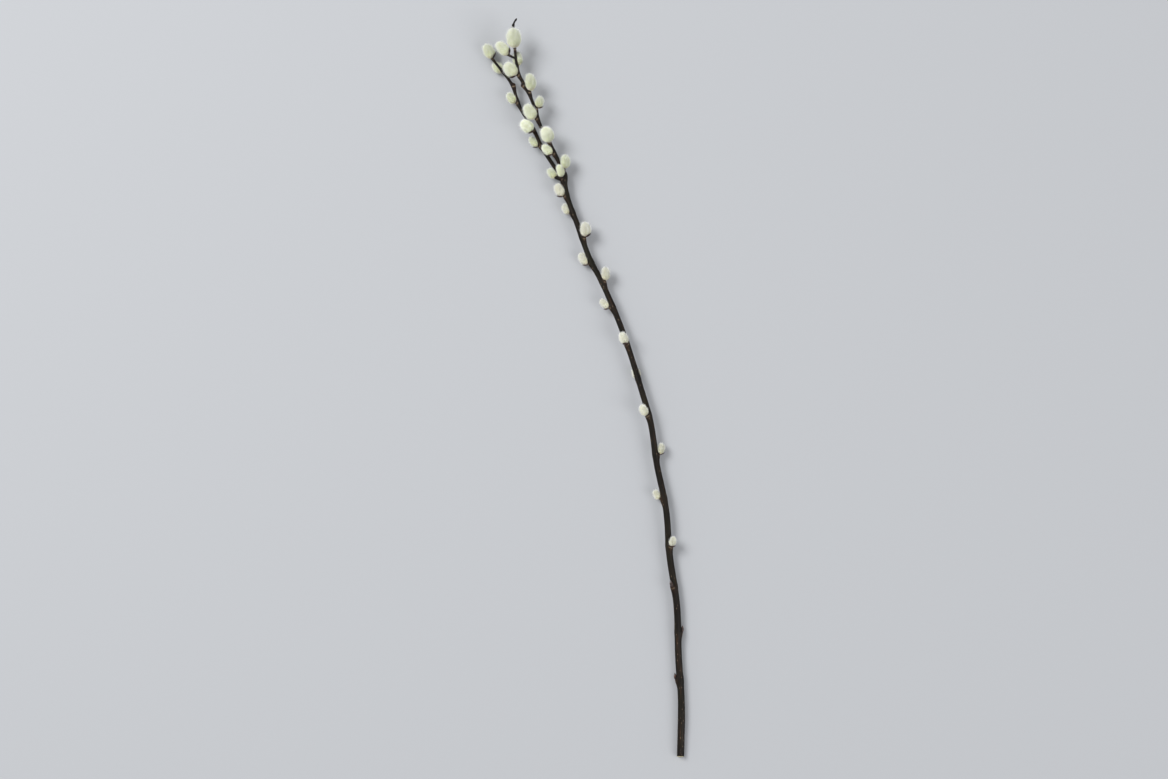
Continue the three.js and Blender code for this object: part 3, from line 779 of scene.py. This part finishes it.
def fur(width, length, capped, rng, density, thick, length_mm, slant, rings, stray, span):
    """One coat of hairs over the core. The bracts are spread by equal area up the egg and by the golden
    angle round it, and each hair stands at a normal random offset from its bract and leans back over it.
    It leaves the skin at a slant to the tip and curves to lie along it; near the tip hairs turn to the
    axis and stand as a soft point. Returns points, one hair's faces, and map places for each point."""
    radius, tall = core_size(width, length)
    share = np.linspace(0, 1, 601)
    ring = egg_radius(share, radius)
    belts = (ring[1:] + ring[:-1]) / 2 * np.hypot(np.diff(ring), np.diff(share) * tall)
    summed = np.concatenate([[0], np.cumsum(belts)])
    count = int(density * 2 * np.pi * summed[-1])
    bracts = int(2 * np.pi * summed[-1] / BRACT_AREA)
    own = np.arange(count) * bracts // count
    aside, ahead = rng.normal(0, 1, (2, count)).clip(-2, 2)
    share = np.interp((own + 0.5) / bracts, summed / summed[-1], share)
    angle = GOLDEN_ANGLE * own + TUFT_SPREAD * aside / np.maximum(egg_radius(share, radius), 1.0)
    share = np.clip(share + TUFT_SPREAD * ahead / tall, 0.004, 0.999)
    if capped:  # none under the bud scale
        off = np.degrees(np.abs((angle + np.pi) % (2 * np.pi) - np.pi))
        kept = off > 40 * np.sqrt(np.maximum(1 - share / 0.2, 0))
        share, angle, aside, ahead = (values[kept] for values in (share, angle, aside, ahead))
        count = len(share)
    # Hairs are shorter at the foot and at the tip. Strays are longer and thinner, and stand up more.
    astray = rng.random(count) < stray
    reach = length_mm * (width / USUAL_WIDTH) * (1 - 0.35 * smooth_step(share, 0.75, 1.0))
    reach = reach * (0.5 + 0.5 * smooth_step(share, 0.0, 0.3)) * rng.uniform(0.8, 1.15, count)
    reach = np.where(astray, 1.3 * reach, reach)
    outward = np.stack([np.sin(angle), 0 * angle, np.cos(angle)], -1)
    around = np.stack([np.cos(angle), 0 * angle, -np.sin(angle)], -1)
    upward = np.array([0.0, 1.0, 0.0])

    def lie(at):
        """Direction along the skin to the tip, turned to the axis near the tip, and the skin's normal."""
        ring, height, out, rise = meridian(at, radius, tall)
        ease = 0.85 * smooth_step(at, 0.6, 1.0)[:, None]
        skin = out[:, None] * outward + rise[:, None] * upward
        normal = rise[:, None] * outward - out[:, None] * upward
        return ring, height, unit(skin * (1 - ease) + upward * ease), normal

    ring, height, skin, normal = lie(share)
    lean = np.radians(rng.normal(slant, 5, count) - 4 * ahead + np.where(astray, 17, 0))[:, None]
    twist = (rng.normal(0, 0.09, count) - 0.16 * aside)[:, None]
    first = unit(np.cos(lean) * (skin + twist * around) + np.sin(lean) * normal)
    _, _, later, _ = lie(np.clip(share + reach / tall, 0, 1))  # how the skin lies where the hair ends
    lift = np.where(astray, 0.35, 0.1)[:, None]
    last = unit(later + rng.normal(0, 0.12, count)[:, None] * around + lift * normal)
    root = ring[:, None] * outward + height[:, None] * upward - HAIR_ROOT_DEPTH * normal
    thick = thick * rng.uniform(0.8, 1.2, count) * np.where(astray, 0.7, 1.0)
    points, faces = spikes(root, first, last, reach, thick, normal, rings)
    strip = STRIP * np.append(np.tile([-1, 0, 1], len(rings)), 0)
    u = np.clip(share + rng.normal(0, 0.02, count), STRIP, 1 - STRIP)[:, None] + strip
    v = span[0] + (span[1] - span[0]) * np.append(np.repeat(rings, 3), 1.0)
    return points, faces, np.stack([u, np.broadcast_to(v, u.shape)], -1)


def build_catkin(number, shoot, growth, silk):
    """A catkin: its core and its silk, pressed clear of the shoot it grows on."""
    _, _, _, width, length, kind = growth
    rng = np.random.default_rng(400 + number)
    place = seat(shoot, growth)
    middle = place[0] + place[2] * length / 2
    verts, tris, uvs = egg_core(width, length)
    core, _ = clear_of_stem(seated(verts, place, length), middle, CORE_CLEARANCE)
    all_points, all_tris, all_places = [core], [tris], [uvs.reshape(-1, 2)]
    total = len(core)
    for coat in (UNDERCOAT, LONG_COAT):
        hairs, faces, places = fur(width, length, "capped" in kind, rng, **coat)
        free = seated(hairs, place, length)
        hairs, push = clear_of_stem(free, middle, HAIR_CLEARANCE)
        _, halfway = clear_of_stem((free[:, :1] + free[:, -1:]) / 2, middle, HAIR_CLEARANCE)
        kept = np.hstack([push, halfway]).max(axis=1) < MOST_PUSHED
        hairs, places = hairs[kept], places[kept]
        points_each = hairs.shape[1]
        hair_tris = points_each * np.arange(len(hairs))[:, None, None] + faces
        all_points.append(hairs.reshape(-1, 3))
        all_tris.append(hair_tris.reshape(-1, 3) + total)
        all_places.append(places[:, faces].reshape(-1, 2))
        total += len(hairs) * points_each
    name = f"silky_catkin_{number:02d}"
    mesh = new_mesh(name, in_place(np.vstack(all_points)), np.vstack(all_tris), uvs=np.vstack(all_places))
    show(name, mesh, [silk], f"catkin_{number:02d}")


def build_scale(number, shoot, growth, skin):
    """The hood at a catkin's foot: a patch of the egg from its foot up, which narrows by a power of its
    height to a point, with a keel down its middle, thin edges and a lip that stands a little open. Two
    skins joined round the rim."""
    _, _, _, width, length, _ = growth
    place = seat(shoot, growth)
    upward, across = HOOD_ROWS, HOOD_COLUMNS
    row = np.linspace(0, 1, upward + 1)[:, None]
    column = np.linspace(-1, 1, across + 1)[None, :]
    share = 0.015 + 0.285 * row + 0 * column
    half_angle = 52 * np.maximum(1 - row**1.7, 0.0006) ** 0.7
    angle = np.radians(half_angle * column)
    ring, height, out, rise = meridian(share, width / 2, length)
    keel = 0.16 * np.exp(-((column / 0.16) ** 2)) * (1 - 0.5 * row)
    skins = []
    for thick in (0.08, 0.08 + 0.42 * (1 - column**2) ** 0.5 * (1 - 0.6 * row**2)):
        stand = 0.22 + thick + (keel if np.ndim(thick) else 0) + 0.3 * row**3
        radius = ring + stand * rise
        skins.append(np.stack([radius * np.sin(angle), height - stand * out, radius * np.cos(angle)], -1))
    inner, outer = skins
    verts = np.vstack([inner.reshape(-1, 3), outer.reshape(-1, 3)])
    columns = across + 1
    i, j = np.meshgrid(np.arange(upward), np.arange(across), indexing="ij")
    a = (i * columns + j).ravel()
    b, c, d = a + 1, a + columns + 1, a + columns
    lift = len(inner.reshape(-1, 3))
    quads = [np.stack([a, d, c, b], -1), np.stack([a, b, c, d], -1) + lift]
    edge = np.concatenate([
        np.arange(across), np.arange(upward) * columns + across,
        upward * columns + np.arange(across, 0, -1), np.arange(upward, 0, -1) * columns,
    ])
    follow = np.roll(edge, -1)
    quads.append(np.stack([edge, follow, follow + lift, edge + lift], -1))
    quads = np.vstack(quads)
    tris = np.vstack([quads[:, :3], quads[:, [0, 2, 3]]])
    middle = place[0] + place[2] * length / 2
    points, _ = clear_of_stem(seated(verts, place, length), middle, HOOD_CLEARANCE)
    mesh = new_mesh(f"bud_cap_{number:02d}", in_place(points), tris)
    show(f"bud_cap_{number:02d}", mesh, [skin], f"bud_scale_{number:02d}")


def build_bud(number, growth, skin):
    """A closed bud pressed to the stem: an egg drawn out to a beak, flattened towards the stem, with the
    raised line where its single scale meets itself."""
    _, _, _, width, length, _ = growth
    place = seat(shoots["trunk"], growth)
    rings, sides = BUD_MESH
    share, turn = egg_stations(rings, sides)
    ring = egg_radius(share, width / 2) * (1 - 0.25 * smooth_step(share, 0.6, 1.0))
    seam = 0.12 * np.exp(-(((np.abs((turn + np.pi) % (2 * np.pi) - np.pi) - 2.2) / 0.12) ** 2))
    ring = ring + seam * np.sin(np.pi * share)
    height = share * length + 0.5 * smooth_step(share, 0.85, 1.0)
    verts = egg_points(ring, height, turn, length + 0.7, flatness=0.82)
    middle = place[0] + place[2] * length / 2
    points, _ = clear_of_stem(seated(verts, place, length), middle, BUD_CLEARANCE)
    mesh = new_mesh(f"winter_bud_{number:02d}", in_place(points), closed_faces(rings, sides))
    show(f"winter_bud_{number:02d}", mesh, [skin], f"closed_bud_{number:02d}")


# ---- Assembly -----------------------------------------------------------------------------------
bark = willow_bark()
wood = cut_wood()
husk = bud_scale_skin()
tip_silk = catkin_silk("catkin silk of the tips", "#c6cc8c", "#cfda6a", "#e8efb2", "#fffffa")
stem_silk = catkin_silk("catkin silk", "#cccb98", "#e2e096", "#f5f3d2", "#fffefa")

build_stem(bark, wood)
number = 0
for name, growths in GROWTHS.items():
    for growth in growths:
        number += 1
        silk = stem_silk if name == "trunk" else tip_silk
        build_catkin(number, shoots[name], growth, silk)
        if "capped" in growth[5]:
            build_scale(number, shoots[name], growth, husk)
for i, growth in enumerate(CLOSED_BUDS):
    build_bud(i + 1, growth, husk)

# ---- Floor, light and camera --------------------------------------------------------------------
FLOOR = 8  # metres from its middle to each side
floor_mesh = bpy.data.meshes.new("floor")
floor_corners = [(-FLOOR, -FLOOR, 0), (FLOOR, -FLOOR, 0), (FLOOR, FLOOR, 0), (-FLOOR, FLOOR, 0)]
floor_mesh.from_pydata(floor_corners, [], [(0, 1, 2, 3)])
floor = bpy.data.objects.new("floor", floor_mesh)
bpy.context.scene.collection.objects.link(floor)
backdrop, tree, shader = new_material("matt studio paper")
shader.inputs["Base Color"].default_value = linear("#999b9e")
shader.inputs["Roughness"].default_value = 0.9
floor_mesh.materials.append(backdrop)

world = bpy.data.worlds.new("studio")
bpy.context.scene.world = world
world.use_nodes = True
world.node_tree.nodes["Background"].inputs["Color"].default_value = linear("#ececee")
world.node_tree.nodes["Background"].inputs["Strength"].default_value = 0.87


def soft_light(name, place, size, power):
    """A square studio softbox that faces the middle of the branch and isn't seen itself."""
    light = bpy.data.lights.new(name, "AREA")
    light.size = size
    light.energy = power
    lamp = bpy.data.objects.new(name, light)
    lamp.location = place
    back = np.array(place) / np.linalg.norm(place)
    lamp.rotation_euler = (math.acos(back[2]), 0, math.atan2(back[1], back[0]) + math.pi / 2)
    lamp.visible_camera = False
    bpy.context.scene.collection.objects.link(lamp)


soft_light("key", (-2.6, 2.0, 3.8), 2.2, 275)
soft_light("fill", (3.2, -1.6, 3.0), 2.6, 92)

LENS, SENSOR = 70.0, 36.0
FRAME_SHAPE = 779 / 1168  # height over width
MARGIN = 1.045  # room round the branch
camera_data = bpy.data.cameras.new("camera")
camera_data.lens = LENS
camera_data.sensor_width = SENSOR
camera = bpy.data.objects.new("camera", camera_data)
half_height = (cad_box[1][1] - cad_box[0][1]) / 2 * MARGIN
camera.location = (0, 0, half_height / (SENSOR * FRAME_SHAPE / 2 / LENS) + cad_box[1][2])
bpy.context.scene.collection.objects.link(camera)
bpy.context.scene.camera = camera
bpy.context.scene.view_settings.view_transform = "Standard"
